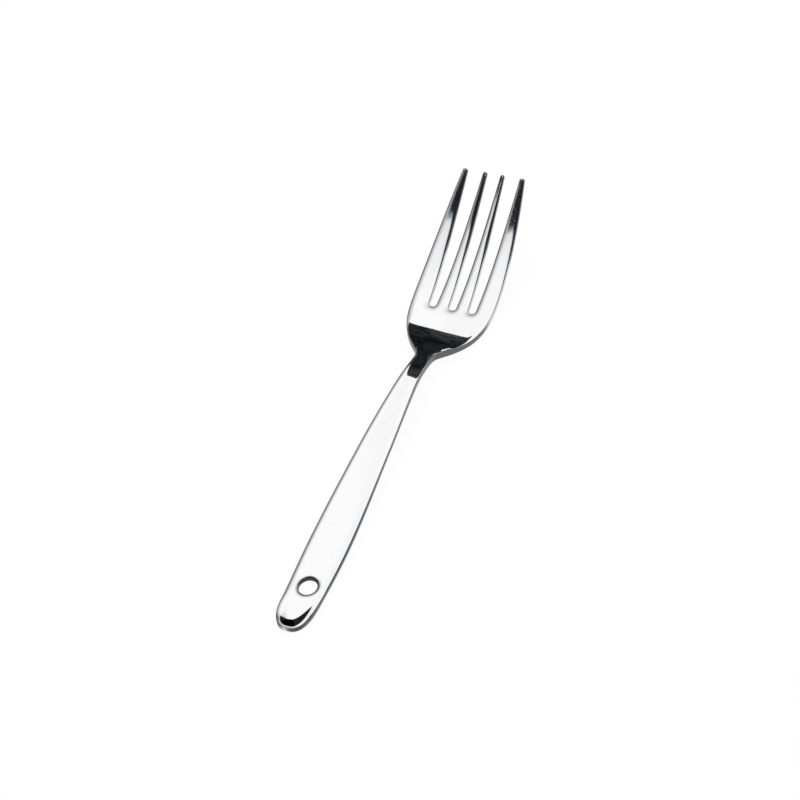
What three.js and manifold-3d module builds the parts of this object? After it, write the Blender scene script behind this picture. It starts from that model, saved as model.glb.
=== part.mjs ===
import * as THREE from "three";
import { mergeVertices } from "three/addons/utils/BufferGeometryUtils.js";
import Module from "manifold-3d";

// Dessert fork pressed from one piece of stainless steel, lying on its back.
// Millimetres, +Z up, X across the fork, Y along it with the tines towards +Y.

// Lengths along the fork, from the round end of the handle to the tips
const crestLength = 91.35; // round end to the highest place of the neck
const neckLength = 15.5; // crest to the place where the shoulders start
const bowlLength = 21.35; // start of the shoulders to the roots of the slots
const tineLength = 42; // roots of the slots to the tips

// Widths of the leaf shaped handle
const handleWidth = 12.25;
const handleWidestAt = 29.4; // from the round end
const handleMidWidth = 9.64;
const handleMidAt = 66; // from the round end
const neckWidth = 5.1;
const endWidth = 10.1; // where the leaf would be cut off square
const endRounding = 10; // length of the rounded end
const endFullness = 2.65; // power of the rounded end, 2 is an ellipse
const leafSwell = 1.2; // how fast the leaf widens at its end, 1 is a straight taper

// Widths of the head
const headWidth = 26.1;
const headWidestPastRoots = 5.25;
const shoulderFullness = 2.65; // power of the shoulder curve
const shoulderFillet = 1.55; // softens the corner between neck and shoulders
const tipSpan = 20.1; // over the outer edges of the outer tips
const outerTineBow = 1.81; // power of the outer edge towards the tips

// Tines and slots
const tipWidth = 1.3;
const innerTipSpacing = 5.6; // between the centres of the two inner tips
const tipRounding = 0.5;
const slotWidth = 2.4; // at the round root
const slotSpacing = 6.3; // between the centres of neighbouring roots

// Side view, heights of the underside along the rim
const padLength = 10.3; // flat underside at the round end
const crestHeight = 5.49;
const bowlDepth = 0.5; // hollow of the bowl below its rim
const bowlFlatness = 4; // power of the hollow across the fork
const bowlPastShoulders = 12.45; // start of the shoulders to the deepest place
const tipHeight = 20.9;
const tipAngle = 31; // degrees
const tipHollow = 0.1;

// Thickness of the rim, square to the sheet
const endThickness = 1.5;
const handleThickness = 1.6;
const neckThickness = 2.1;
const bowlThickness = 1.8;
const tipThickness = 1.1;
const endTaper = 8; // length over which the end gets thinner

// Crowned top of the handle: a sloping border round a nearly flat leaf
const borderWidth = 1.25;
const borderRise = 0.25;
const leafCrown = 0.05;
const endRoll = 6; // length over which the leaf falls towards the round end
const headEdge = 0.4; // width of the softened edge on the head
const headEdgeRise = 0.1;
const lowerEdge = 0.3; // softened edge all round the underside

// Hanging hole
const holeWidth = 5.6;
const holeLength = 5.9;
const holeFromEnd = 15.35;
const holeEase = 0.2;

// Fineness of the facets
const endSteps = 14;
const bodySteps = 84;
const tipSteps = 3;
const leafColumns = 8;
const arcSegments = 10;

const wasm = await Module();
wasm.setup();

const crestY = crestLength;
const shoulderY = crestY + neckLength;
const bowlY = shoulderY + bowlPastShoulders;
const rootY = shoulderY + bowlLength;
const widestY = rootY + headWidestPastRoots;
const tipY = rootY + tineLength;
const tipCornerY = tipY - 2 * tipRounding;
const tipSlope = Math.tan(THREE.MathUtils.degToRad(tipAngle));

// Smooth curve through stations [place, value, slope]
function curveThrough(stations) {
  return (y) => {
    let i = 0;
    while (i < stations.length - 2 && y > stations[i + 1][0]) i += 1;
    const [y0, v0, s0] = stations[i];
    const [y1, v1, s1] = stations[i + 1];
    const h = y1 - y0;
    const t = THREE.MathUtils.clamp((y - y0) / h, 0, 1);
    const a = v0 * (1 + 2 * t) * (1 - t) ** 2 + s0 * h * t * (1 - t) ** 2;
    return a + v1 * t * t * (3 - 2 * t) + s1 * h * t * t * (t - 1);
  };
}

// Half width of the leaf, with its rounded end
const midSlope = (neckWidth - handleWidth) / (shoulderY - handleWidestAt) / 2;
const endSlope = (leafSwell * (handleWidth - endWidth)) / handleWidestAt / 2;
const leafHalf = curveThrough([
  [0, endWidth / 2, endSlope],
  [handleWidestAt, handleWidth / 2, 0],
  [handleMidAt, handleMidWidth / 2, midSlope],
  [shoulderY, neckWidth / 2, 0],
  [tipY, neckWidth / 2, 0],
]);

function handleHalf(y) {
  const u = THREE.MathUtils.clamp(1 - y / endRounding, 0, 1);
  return leafHalf(y) * (1 - u ** endFullness) ** (1 / endFullness);
}

// Half width of the head: convex shoulders, then outer edges drawn in towards the tips
function headHalf(y) {
  const u = 1 - Math.min((y - shoulderY) / (widestY - shoulderY), 1);
  const shoulder = 1 - Math.sign(u) * Math.abs(u) ** shoulderFullness;
  const v = Math.max((y - widestY) / (tipY - widestY), 0);
  const drawnIn = ((headWidth - tipSpan) / 2) * v ** outerTineBow;
  return neckWidth / 2 + ((headWidth - neckWidth) / 2) * shoulder - drawnIn;
}

function halfWidth(y) {
  const handle = handleHalf(y);
  if (y < handleMidAt) return handle;
  const head = headHalf(y);
  const joined = (handle + head + Math.hypot(handle - head, shoulderFillet)) / 2;
  const u = Math.max((y - tipCornerY) / (tipY - tipCornerY), 0);
  return joined - tipRounding * u * u;
}

// Height of the underside along the rim
const underside = curveThrough([
  [0, 0, 0],
  [padLength, 0, 0],
  [crestY, crestHeight, 0],
  [bowlY, bowlDepth, 0],
  [tipY, tipHeight, tipSlope],
]);

const thickness = curveThrough([
  [0, endThickness, 0],
  [endTaper, handleThickness, 0],
  [handleMidAt, handleThickness, 0],
  [shoulderY, neckThickness, 0],
  [rootY, bowlThickness, 0],
  [tipY, tipThickness, (tipThickness - bowlThickness) / tineLength],
]);

const hollow = curveThrough([
  [0, 0, 0],
  [crestY, 0, 0],
  [bowlY, bowlDepth, 0],
  [tipY, tipHollow, 0],
]);

const crown = curveThrough([
  [0, 0, 0],
  [endRoll, leafCrown, 0],
  [crestY, leafCrown, 0],
  [shoulderY, 0, 0],
  [tipY, 0, 0],
]);

const edgeWidth = curveThrough([
  [0, borderWidth, 0],
  [handleMidAt, borderWidth, 0],
  [shoulderY, headEdge, 0],
  [tipY, headEdge, 0],
]);

const edgeRise = curveThrough([
  [0, borderRise, 0],
  [handleMidAt, borderRise, 0],
  [shoulderY, headEdgeRise, 0],
  [tipY, headEdgeRise, 0],
]);

// Closed body lofted through rings of points that all have the same count
function loft(rings) {
  const position = [];
  for (const ring of rings) for (const p of ring) position.push(p.x, p.y, p.z);
  const count = rings[0].length;
  const index = [];
  for (let i = 0; i + 1 < rings.length; i += 1) {
    for (let j = 0; j < count; j += 1) {
      const k = (j + 1) % count;
      const a = i * count + j;
      const b = i * count + k;
      index.push(a, b, b + count, a, b + count, a + count);
    }
  }
  // The last ring is closed from its top row to its bottom row
  const last = (rings.length - 1) * count;
  for (let j = 0; j < count / 2 - 1; j += 1) {
    const a = last + j;
    const b = last + count - 1 - j;
    index.push(a, a + 1, b - 1, a, b - 1, b);
  }
  const geometry = new THREE.BufferGeometry();
  geometry.setAttribute("position", new THREE.Float32BufferAttribute(position, 3));
  geometry.setIndex(index);
  return geometry;
}

// Solid of a closed geometry, without the triangles that shrink to a line at the round end
function solidOf(geometry) {
  const plain = geometry.clone();
  plain.deleteAttribute("normal");
  plain.deleteAttribute("uv");
  const merged = mergeVertices(plain, 1e-4);
  const kept = [];
  const all = merged.index.array;
  for (let i = 0; i < all.length; i += 3) {
    const [a, b, c] = [all[i], all[i + 1], all[i + 2]];
    if (a !== b && b !== c && c !== a) kept.push(a, b, c);
  }
  const mesh = new wasm.Mesh({
    numProp: 3,
    vertProperties: merged.attributes.position.array,
    triVerts: new Uint32Array(kept),
  });
  return new wasm.Manifold(mesh);
}

// Points along one side of the outline, close together at the round end
function outlinePoints() {
  const places = [];
  for (let i = 0; i < endSteps; i += 1) {
    const turn = ((i / endSteps) * Math.PI) / 2;
    places.push(endRounding * (1 - Math.cos(turn) ** (2 / endFullness)));
  }
  for (let i = 0; i <= bodySteps; i += 1) {
    places.push(THREE.MathUtils.lerp(endRounding, tipCornerY, i / bodySteps));
  }
  for (let i = 1; i <= tipSteps; i += 1) {
    places.push(THREE.MathUtils.lerp(tipCornerY, tipY, i / tipSteps));
  }
  return places.map((y) => new THREE.Vector2(halfWidth(y), y));
}

// Point set in from the outline by a distance, square to the outline
function setIn(outline, i, distance) {
  const p = outline[i];
  if (i === 0) return new THREE.Vector2(0, p.y + distance);
  const ahead = outline[Math.min(i + 1, outline.length - 1)];
  const along = ahead.clone().sub(outline[i - 1]).normalize();
  const tip = i === outline.length - 1;
  const x = p.x - distance * (tip ? 1 : along.y);
  return new THREE.Vector2(Math.max(x, 0), p.y + distance * (tip ? 0 : along.x));
}

// One ring of the fork: the top row from left to right, then the bottom row back
function ringAt(outline, i) {
  const rim = outline[i];
  const inner = setIn(outline, i, edgeWidth(rim.y));
  const lower = setIn(outline, i, lowerEdge);
  const step = 0.05;
  const slope = (underside(rim.y + step) - underside(rim.y - step)) / (2 * step);
  const tilt = i === outline.length - 1 ? Math.atan(tipSlope) : Math.atan(slope);
  const base = underside(rim.y);
  const wall = thickness(rim.y);
  const roll = THREE.MathUtils.smoothstep(inner.y, 0, endRoll);
  const rise = edgeRise(rim.y) * roll;
  const lift = (x, y, up) =>
    new THREE.Vector3(x, y - up * Math.sin(tilt), base + up * Math.cos(tilt));
  const dish = (u) => hollow(rim.y) * (1 - Math.abs(u) ** bowlFlatness);
  const top = [];
  const bottom = [];
  top.push(lift(-rim.x, rim.y, wall));
  bottom.push(lift(-rim.x, rim.y, lowerEdge));
  for (let j = 0; j <= leafColumns; j += 1) {
    const u = (2 * j) / leafColumns - 1;
    const x = inner.x * u;
    const over = rise + crown(rim.y) * roll * (1 - u * u);
    top.push(lift(x, inner.y, wall + over - dish(u)));
    bottom.push(lift(lower.x * u, lower.y, -dish(u)));
  }
  top.push(lift(rim.x, rim.y, wall));
  bottom.push(lift(rim.x, rim.y, lowerEdge));
  return [...top, ...bottom.reverse()];
}

// Tapered slot with a round root, open past the tips, that also rounds the corners of the tips
function slotCutter(rootX, leftTip, rightTip) {
  const r = slotWidth / 2;
  const left = leftTip + tipWidth / 2;
  const right = rightTip - tipWidth / 2;
  const past = tipY + tipThickness;
  const shape = new THREE.Shape();
  shape.moveTo(left - tipRounding, past);
  shape.lineTo(left - tipRounding, tipY);
  shape.quadraticCurveTo(left, tipY, left, tipCornerY);
  shape.lineTo(rootX - r, rootY + r);
  shape.absarc(rootX, rootY + r, r, Math.PI, 2 * Math.PI, false);
  shape.lineTo(right, tipCornerY);
  shape.quadraticCurveTo(right, tipY, right + tipRounding, tipY);
  shape.lineTo(right + tipRounding, past);
  shape.closePath();
  const depth = tipHeight + tipThickness + 2 * bowlThickness;
  const cutter = new THREE.ExtrudeGeometry(shape, {
    depth,
    bevelEnabled: false,
    curveSegments: arcSegments,
  });
  return cutter.translate(0, 0, -bowlThickness);
}

// Oval hole with eased rims on both faces
function holeCutter() {
  const low = underside(holeFromEnd);
  const high = low + handleThickness + borderRise + leafCrown;
  const flare = 1 + (2 * holeEase) / holeWidth;
  const profile = [
    new THREE.Vector2(0, low - holeEase),
    new THREE.Vector2(flare * flare, low - holeEase),
    new THREE.Vector2(1, low + holeEase),
    new THREE.Vector2(1, high - holeEase),
    new THREE.Vector2(flare * flare, high + holeEase),
    new THREE.Vector2(0, high + holeEase),
  ];
  const cutter = new THREE.LatheGeometry(profile, 4 * arcSegments);
  cutter.rotateX(Math.PI / 2);
  cutter.scale(holeWidth / 2, holeLength / 2, 1);
  return cutter.translate(0, holeFromEnd, 0);
}

const outline = outlinePoints();
const blank = loft(outline.map((_, i) => ringAt(outline, i)));

const outerTip = (tipSpan - tipWidth) / 2;
const innerTip = innerTipSpacing / 2;
const cuts = [
  slotCutter(-slotSpacing, -outerTip, -innerTip),
  slotCutter(0, -innerTip, innerTip),
  slotCutter(slotSpacing, innerTip, outerTip),
  holeCutter(),
];
let body = solidOf(blank);
for (const cut of cuts) body = body.subtract(solidOf(cut));

const cutMesh = body.getMesh();
const forkGeometry = new THREE.BufferGeometry();
const corners = new THREE.BufferAttribute(cutMesh.vertProperties, 3);
forkGeometry.setAttribute("position", corners);
forkGeometry.setIndex([...cutMesh.triVerts]);
forkGeometry.computeVertexNormals();

// The origin lies on the table under the middle of the fork's length
forkGeometry.computeBoundingBox();
const box = forkGeometry.boundingBox;
forkGeometry.translate(0, -(box.min.y + box.max.y) / 2, -box.min.z);

const polishedSteel = new THREE.MeshStandardMaterial({
  color: 0xd9dbdc,
  roughness: 0.12,
  metalness: 1,
});

const forkMesh = new THREE.Mesh(forkGeometry, polishedSteel);
forkMesh.name = "fork";

const dessertFork = new THREE.Group();
dessertFork.name = "dessert_fork";
dessertFork.add(forkMesh);

export default dessertFork;
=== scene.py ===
import bpy
import math
import numpy as np
from mathutils import Vector, Matrix, kdtree


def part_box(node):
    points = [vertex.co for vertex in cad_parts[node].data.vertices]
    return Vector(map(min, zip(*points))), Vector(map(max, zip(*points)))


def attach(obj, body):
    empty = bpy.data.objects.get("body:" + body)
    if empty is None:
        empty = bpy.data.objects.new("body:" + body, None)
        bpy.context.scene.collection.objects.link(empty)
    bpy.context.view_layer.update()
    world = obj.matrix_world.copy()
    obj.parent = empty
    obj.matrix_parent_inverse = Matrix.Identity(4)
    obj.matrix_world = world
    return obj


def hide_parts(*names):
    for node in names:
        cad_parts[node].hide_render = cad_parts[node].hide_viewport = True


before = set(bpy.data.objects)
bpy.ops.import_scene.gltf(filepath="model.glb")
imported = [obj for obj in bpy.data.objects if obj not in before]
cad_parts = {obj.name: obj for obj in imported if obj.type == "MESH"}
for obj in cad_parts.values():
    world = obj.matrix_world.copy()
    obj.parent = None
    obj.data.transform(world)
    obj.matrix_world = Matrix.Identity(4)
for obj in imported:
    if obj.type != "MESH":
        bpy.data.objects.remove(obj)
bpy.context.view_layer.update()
mm = 0.001

# sizes of the fork in millimetres, places are measured from the round end of the handle
fork = {
    "crestAt": 91.35, "shoulderAt": 106.85, "bowlAt": 119.3, "rootAt": 128.2, "tipAt": 170.2,
    # outline of the handle, the hole and the head
    "endWidth": 10.1, "endRounding": 10.0, "endFullness": 2.65, "leafSwell": 1.2,
    "handleWidth": 12.25, "handleWidestAt": 29.4, "handleMidWidth": 9.64, "handleMidAt": 66.0, "neckWidth": 5.1,
    "holeWidth": 5.25, "holeLength": 5.85, "holeAt": 15.45,
    "headWidth": 26.1, "headWidestAt": 133.45, "shoulderFullness": 2.65, "shoulderFillet": 1.55,
    "tipSpan": 19.7, "outerTineBow": 1.81, "tipWidth": 1.3, "outerTipWidth": 1.4, "innerTipSpacing": 5.6,
    "tipRounding": 0.45, "slotWidth": 2.4, "slotSpacing": 6.3,
    # side view, hollow of the bowl and thickness of the sheet
    "padLength": 10.3, "crestHeight": 5.49, "tipHeight": 20.9, "tipAngle": 31.0, "handleRelief": 0.25,
    "bowlDepth": 0.5, "tipHollow": 0.1, "neckFlatness": 4, "bowlFlatness": 2,
    "flatnessFrom": 109.85, "flatnessTo": 118.3,
    "endThickness": 2.2, "endTaper": 16.0, "handleThickness": 1.6, "neckThickness": 2.1,
    "bowlThickness": 1.8, "tipThickness": 1.1,
    # sunk rim of the round end, leaning to the right and spread out on the left
    "endRimWidth": 0.85, "rimWidth": 1.35, "endSink": 0.66, "sideSink": 0.2, "sinkLength": 13.0, "sinkFade": -0.05,
    "endSlopeWidth": 2.7, "sideSlopeWidth": 1.2, "sinkLean": 0.8, "sinkSpread": 2.0,
    "asideFrom": 1.5, "asideLength": 4.0,
    # soft roll of the top edges, a lean above 0 rolls the edges that face left more
    "rollWidth": 2.6, "rollDrop": 0.24, "rollLean": 0.5,
    "neckRollWidth": 2.4, "neckRollDrop": 0.2, "neckRollLean": 0.9, "neckLeanReach": 6.0,
    "shoulderRollDrop": 0.02, "shoulderRollAfter": 2.8, "waistRollDrop": 0.18, "waistRollAfter": 6.2,
    "bowlRollWidth": 2.0, "bowlRollDrop": 0.22, "bowlRollLean": -0.7, "bowlLeanFrom": 105.85, "bowlLeanTo": 109.35,
    "rootRollWidth": 1.9, "rootRollDrop": 0.18,
    "tipRollWidth": 0.65, "tipRollNarrowing": -0.03, "tipRollDrop": 0.06, "tipRollFading": -0.003,
    "holeRollWidth": 1.4, "holeRollDrop": 0.16,
    # crown and turn of each tine from left to right in degrees, and where the turn starts above the roots
    "tineCrown": (3.0, 1.5, 4.0, 2.0), "tineTwist": (-4.5, -5.0, 1.0, -5.5),
    "twistFrom": (23.5, 22.5, 17.0, 23.0), "twistLength": 13.0,
    # painted dark shade lines along the edges, painted dark shade by the hole, on the tips and the end wall, a
    # painted highlight on the end wall, and softer polish with painted shade
    "edgeShadeLine": 0.4, "edgeShadeLineLeft": 1.0, "edgeReach": 0.45, "edgeReachHole": 0.95,
    "edgeReachLeft": 1.6, "edgeReachShare": 0.6, "headFrom": 116.3, "headLength": 6.0,
    "tipShadeCap": 1.2, "shadeCapLength": 0.6, "rootDullShadeLength": 2.3, "holeDullShade": 0.7, "holeDullShadeReach": 0.6,
    "holeDarkShade": 0.75, "wallReach": 0.08, "ringReach": 0.26, "tipDarkShade": 0.4, "endDarkShade": 0.6,
    "endWallUntil": 3.75, "endWallFade": 2.5, "highlightAt": -0.7, "highlightWidth": 1.0, "highlightSpread": 2.2, "endHighlight": 0.6,
    # how much the side walls are ground and painted with dark shade along the fork, as place, value and slope
    "groundShadeAlong": [(0, 1, 0), (112, 1, 0), (121, 0.9, 0), (129, 0.35, 0),
                    (142, 0.35, 0), (152, 1, 0), (170.2, 1, 0)],
    # mesh
    "tineColumns": 14, "slotColumns": 10, "rimRing": 0.45, "joinWithin": 0.004,
    "edgeRadius": 0.22, "edgeSegments": 4, "edgeAngle": 55.0,
}


# smooth curve through stations of place, value and slope
def curveThrough(stations, y):
    y = np.asarray(y, float)
    out = np.full(y.shape, float(stations[0][1]))
    for (y0, v0, s0), (y1, v1, s1) in zip(stations[:-1], stations[1:]):
        h = y1 - y0
        t = np.clip((y - y0) / h, 0, 1)
        part = v0 * (1 + 2 * t) * (1 - t) ** 2 + s0 * h * t * (1 - t) ** 2
        part = part + v1 * t * t * (3 - 2 * t) + s1 * h * t * t * (t - 1)
        out = np.where(y >= y0, part, out)
    return out


def leafHalf(y):
    f = fork
    endSlope = f["leafSwell"] * (f["handleWidth"] - f["endWidth"]) / f["handleWidestAt"] / 2
    midSlope = (f["neckWidth"] - f["handleWidth"]) / (f["shoulderAt"] - f["handleWidestAt"]) / 2
    return curveThrough([
        (0, f["endWidth"] / 2, endSlope),
        (f["handleWidestAt"], f["handleWidth"] / 2, 0),
        (f["handleMidAt"], f["handleMidWidth"] / 2, midSlope),
        (f["shoulderAt"], f["neckWidth"] / 2, 0),
        (f["tipAt"], f["neckWidth"] / 2, 0)], y)


def headHalf(y):
    f = fork
    u = 1 - np.minimum((y - f["shoulderAt"]) / (f["headWidestAt"] - f["shoulderAt"]), 1)
    shoulder = 1 - np.sign(u) * np.abs(u) ** f["shoulderFullness"]
    v = np.maximum((y - f["headWidestAt"]) / (f["tipAt"] - f["headWidestAt"]), 0)
    drawnIn = (f["headWidth"] - f["tipSpan"]) / 2 * v ** f["outerTineBow"]
    return f["neckWidth"] / 2 + (f["headWidth"] - f["neckWidth"]) / 2 * shoulder - drawnIn


def halfWidth(y):
    handle = leafHalf(y)
    head = headHalf(y)
    joined = (handle + head + np.hypot(handle - head, fork["shoulderFillet"])) / 2
    return np.where(y < fork["handleMidAt"], handle, joined)


# side view: the underside of the rim, how it leans and how thick the sheet is
def underside(y):
    f = fork
    return curveThrough([
        (0, 0, 0), (f["padLength"], 0, 0), (f["crestAt"], f["crestHeight"], 0),
        (f["bowlAt"], f["bowlDepth"], 0),
        (f["tipAt"], f["tipHeight"], math.tan(math.radians(f["tipAngle"])))], y)


def leanOf(y):
    step = 0.05
    inside = np.clip(y, step, fork["tipAt"] - step)
    return np.arctan((underside(inside + step) - underside(inside - step)) / (2 * step))


def thicknessOf(y):
    f = fork
    tipTaper = (f["tipThickness"] - f["bowlThickness"]) / (f["tipAt"] - f["rootAt"])
    return curveThrough([
        (0, f["endThickness"], 0), (f["endTaper"], f["handleThickness"], 0),
        (f["handleMidAt"], f["handleThickness"], 0), (f["shoulderAt"], f["neckThickness"], 0),
        (f["rootAt"], f["bowlThickness"], 0), (f["tipAt"], f["tipThickness"], tipTaper)], y)


# depth of the bowl across the fork, flat in the neck and round in the bowl
def hollowOf(x, y):
    f = fork
    depth = curveThrough([
        (0, 0, 0), (f["crestAt"], 0, 0), (f["bowlAt"], f["bowlDepth"], 0), (f["tipAt"], f["tipHollow"], 0)], y)
    flatness = curveThrough([
        (0, f["neckFlatness"], 0), (f["flatnessFrom"], f["neckFlatness"], 0),
        (f["flatnessTo"], f["bowlFlatness"], 0), (f["tipAt"], f["bowlFlatness"], 0)], y)
    u = np.minimum(np.abs(x) / halfWidth(y), 1)
    return depth * (1 - u ** flatness)


# the rim of the round end lies lower than the leaf, with a soft slope between, and fades out along the sides
def rimSink(edgeDistance, x, y):
    f = fork
    far, half = f["sinkLength"], f["sinkLength"] / 2
    rim = curveThrough([
        (0, f["endRimWidth"], 0), (half, f["rimWidth"], 0), (f["tipAt"], f["rimWidth"], 0)], y)
    wide = curveThrough([
        (0, f["endSlopeWidth"], 0), (half, f["sideSlopeWidth"], 0), (f["tipAt"], f["sideSlopeWidth"], 0)], y)
    deep = curveThrough([
        (0, f["endSink"], 0), (half, f["sideSink"], f["sinkFade"]), (far, 0, 0), (f["tipAt"], 0, 0)], y)
    aside = np.clip((y - f["asideFrom"]) / f["asideLength"], 0, 1) * x / leafHalf(y)
    wide = wide * (1 + f["sinkSpread"] * np.maximum(-aside, 0))
    t = np.clip((edgeDistance - rim) / wide, 0, 1)
    return deep * (1 + f["sinkLean"] * aside) * (1 - 1.5 * t + 0.5 * t ** 3)


# how near a place lies below the round roots of the slots, 1 at the edge and 0 further than reach
def belowRoots(x, y, reach):
    f = fork
    r = f["slotWidth"] / 2
    near = np.zeros(len(x))
    for k in (-1, 0, 1):
        dx, dy = x - k * f["slotSpacing"], y - f["rootAt"] - r
        away = np.maximum(np.hypot(dx, dy), 1e-6)
        facing = np.clip(-dy / away, 0, 1)
        near = np.maximum(near, facing ** 2 * np.clip(1 - np.maximum(away - r, 0) / reach, 0, 1))
    return near


# top edges roll over softly before the sharp edge, on one side more than on the other
def edgeRoll(edgeDistance, toward, y, byHole):
    f = fork
    shoulder = f["shoulderAt"]
    wide = curveThrough([
        (0, f["rollWidth"], 0), (f["crestAt"], f["rollWidth"], 0), (shoulder, f["neckRollWidth"], 0),
        (f["bowlAt"], f["bowlRollWidth"], 0), (f["rootAt"], f["rootRollWidth"], 0),
        (f["tipAt"], f["tipRollWidth"], f["tipRollNarrowing"])], y)
    deep = curveThrough([
        (0, 0, 0), (f["sinkLength"] / 4, 0, 0), (f["sinkLength"], f["rollDrop"], 0), (f["crestAt"], f["rollDrop"], 0),
        (shoulder, f["neckRollDrop"], 0), (shoulder + f["shoulderRollAfter"], f["shoulderRollDrop"], 0),
        (shoulder + f["waistRollAfter"], f["waistRollDrop"], 0), (f["bowlAt"], f["bowlRollDrop"], 0),
        (f["rootAt"], f["rootRollDrop"], 0), (f["tipAt"], f["tipRollDrop"], f["tipRollFading"])], y)
    deep = np.where(byHole, f["holeRollDrop"], deep)
    wide = np.where(byHole, f["holeRollWidth"], wide)
    lean = curveThrough([
        (0, f["rollLean"], 0), (f["crestAt"] - f["neckLeanReach"], f["rollLean"], 0),
        (f["crestAt"] + f["neckLeanReach"], f["neckRollLean"], 0), (f["bowlLeanFrom"], f["neckRollLean"], 0),
        (f["bowlLeanTo"], f["bowlRollLean"], 0), (f["bowlAt"], f["bowlRollLean"], 0),
        (f["rootAt"], f["rollLean"], 0), (f["tipAt"], f["rollLean"], 0)], y)
    return deep * (1 - lean * toward[:, 0]) * np.clip(1 - edgeDistance / wide, 0, 1) ** 3


# how strong the painted dark shade line along the edges is, wider on the edges that face left
def edgeShadeLine(edgeDistance, toward, y, byHole):
    f = fork
    left = np.clip(0.5 - toward[:, 0], 0, 1)
    onHead = np.clip((y - f["headFrom"]) / f["headLength"], f["edgeReachShare"], 1)
    reach = f["edgeReach"] + (f["edgeReachLeft"] - f["edgeReach"]) * left * onHead
    reach = np.where(byHole, f["edgeReachHole"], reach)
    # the painted shade line is full on the tips
    onTip = np.clip((y - f["tipAt"] + 2 * f["tipShadeCap"]) / f["tipShadeCap"], 0, 1)
    most = np.maximum(np.maximum(left, onTip), byHole)
    strength = f["edgeShadeLine"] + (f["edgeShadeLineLeft"] - f["edgeShadeLine"]) * most
    return strength * np.clip(1 - edgeDistance / reach, 0, 1)


# each tine is a little crowned and turned by hand finishing: rise of its top and of the whole tine
def tineForm(x, y):
    f = fork
    margin, steps = 0.3, 60
    top, whole = np.zeros(len(x)), np.zeros(len(x))
    places = np.linspace(f["rootAt"] + f["slotWidth"] / 2, f["tipAt"] - f["tipRounding"], steps)
    edges = np.array([tineEdges(v) for v in places])
    for k in range(4):
        ramp = np.clip((y - f["rootAt"] - f["twistFrom"][k]) / f["twistLength"], 0, 1)
        ramp = ramp * ramp * (3 - 2 * ramp)
        left = np.interp(y, places, edges[:, k, 0])
        right = np.interp(y, places, edges[:, k, 1])
        here = (y > places[0]) & (x > left - margin) & (x < right + margin)
        off, half = x - (left + right) / 2, (right - left) / 2
        crown = math.tan(math.radians(f["tineCrown"][k])) * half / 2 * (1 - (off / half) ** 2)
        turn = math.tan(math.radians(f["tineTwist"][k])) * off
        top[here] = (ramp * crown)[here]
        whole[here] = (ramp * turn)[here]
    return top, whole


# rows along the fork, closer together where the shape turns quickly
def rowPlaces():
    f = fork
    splitAt, neckAt = 22, 88
    endRows, handleRows, bowlRows, arcRows, tineRows, tipRows = 60, 84, 92, 6, 70, 6
    q = 1 - math.sin(math.pi / 4) ** (2 / f["endFullness"])
    bottom = f["endRounding"] * q
    r = f["slotWidth"] / 2
    corner = f["rootAt"] + r * (1 - math.cos(math.pi / 4))
    arcTop = f["rootAt"] + r
    tipStart = f["tipAt"] - f["tipRounding"]
    end = np.linspace(bottom, splitAt, endRows)[:-1]
    handle = np.concatenate([end, np.linspace(splitAt, neckAt, handleRows)[:-1]])
    bowl = np.linspace(neckAt, corner, bowlRows)[:-1]
    arc = f["rootAt"] + r - r * np.cos(np.linspace(math.pi / 4, math.pi / 2, arcRows))
    tine = np.linspace(arcTop, tipStart, tineRows)[1:-1]
    tip = tipStart + f["tipRounding"] * np.sin(np.linspace(0, math.pi / 4, tipRows))
    rows = np.concatenate([handle, bowl, arc, tine, tip])
    return rows, len(handle) + len(bowl)


# left and right edge of each tine at a row above the slot roots
def tineEdges(y):
    f = fork
    r = f["slotWidth"] / 2
    outer = (f["tipSpan"] - f["outerTipWidth"]) / 2
    inner = f["innerTipSpacing"] / 2
    tips = [-outer, -inner, inner, outer]
    widths = [f["outerTipWidth"], f["tipWidth"], f["tipWidth"], f["outerTipWidth"]]
    roots = [-f["slotSpacing"], 0, f["slotSpacing"]]
    arcTop = f["rootAt"] + r
    tipStart = f["tipAt"] - f["tipRounding"]
    edges = []
    for k in range(4):
        half = widths[k] / 2
        if y > tipStart:
            s = min((y - tipStart) / f["tipRounding"], 1)
            half = half * math.sqrt(1 - s * s)
        sides = []
        for side in (-1, 1):
            atTip = tips[k] + side * half
            slot = k - 1 if side < 0 else k
            if slot < 0 or slot > 2:
                full = side * float(halfWidth(np.array(min(y, tipStart))))
                sides.append(full if y <= tipStart else atTip + (full - tips[k] - side * widths[k] / 2))
                continue
            if y < arcTop:
                edge = roots[slot] - side * math.sqrt(max(r * r - (arcTop - y) ** 2, 0))
            else:
                t = min((y - arcTop) / (tipStart - arcTop), 1)
                start = roots[slot] - side * r
                edge = start + (tips[k] + side * widths[k] / 2 - start) * t
                if y > tipStart:
                    edge = atTip
            sides.append(edge)
        edges.append(sides)
    return edges


def readLinks(mesh):
    links = np.zeros(len(mesh.edges) * 2, np.int32)
    mesh.edges.foreach_get("vertices", links)
    return links.reshape(-1, 2)


def readPoints(mesh):
    co = np.zeros(len(mesh.vertices) * 3)
    mesh.vertices.foreach_get("co", co)
    return co.reshape(-1, 3)


def writePoints(mesh, co):
    mesh.vertices.foreach_set("co", co.astype(np.float32).ravel())
    mesh.update()


def boundaryPairs(mesh):
    loops = np.zeros(len(mesh.loops), np.int32)
    mesh.loops.foreach_get("edge_index", loops)
    uses = np.bincount(loops, minlength=len(mesh.edges))
    return readLinks(mesh)[uses == 1]


def selectVertices(obj, chosen):
    mesh = obj.data
    bpy.ops.object.mode_set(mode="EDIT")
    bpy.ops.mesh.select_mode(type="VERT")
    bpy.ops.mesh.select_all(action="DESELECT")
    bpy.ops.object.mode_set(mode="OBJECT")
    flags = np.zeros(len(mesh.vertices), bool)
    flags[chosen] = True
    mesh.vertices.foreach_set("select", flags)
    links = readLinks(mesh)
    mesh.edges.foreach_set("select", flags[links[:, 0]] & flags[links[:, 1]])
    bpy.ops.object.mode_set(mode="EDIT")


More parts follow.
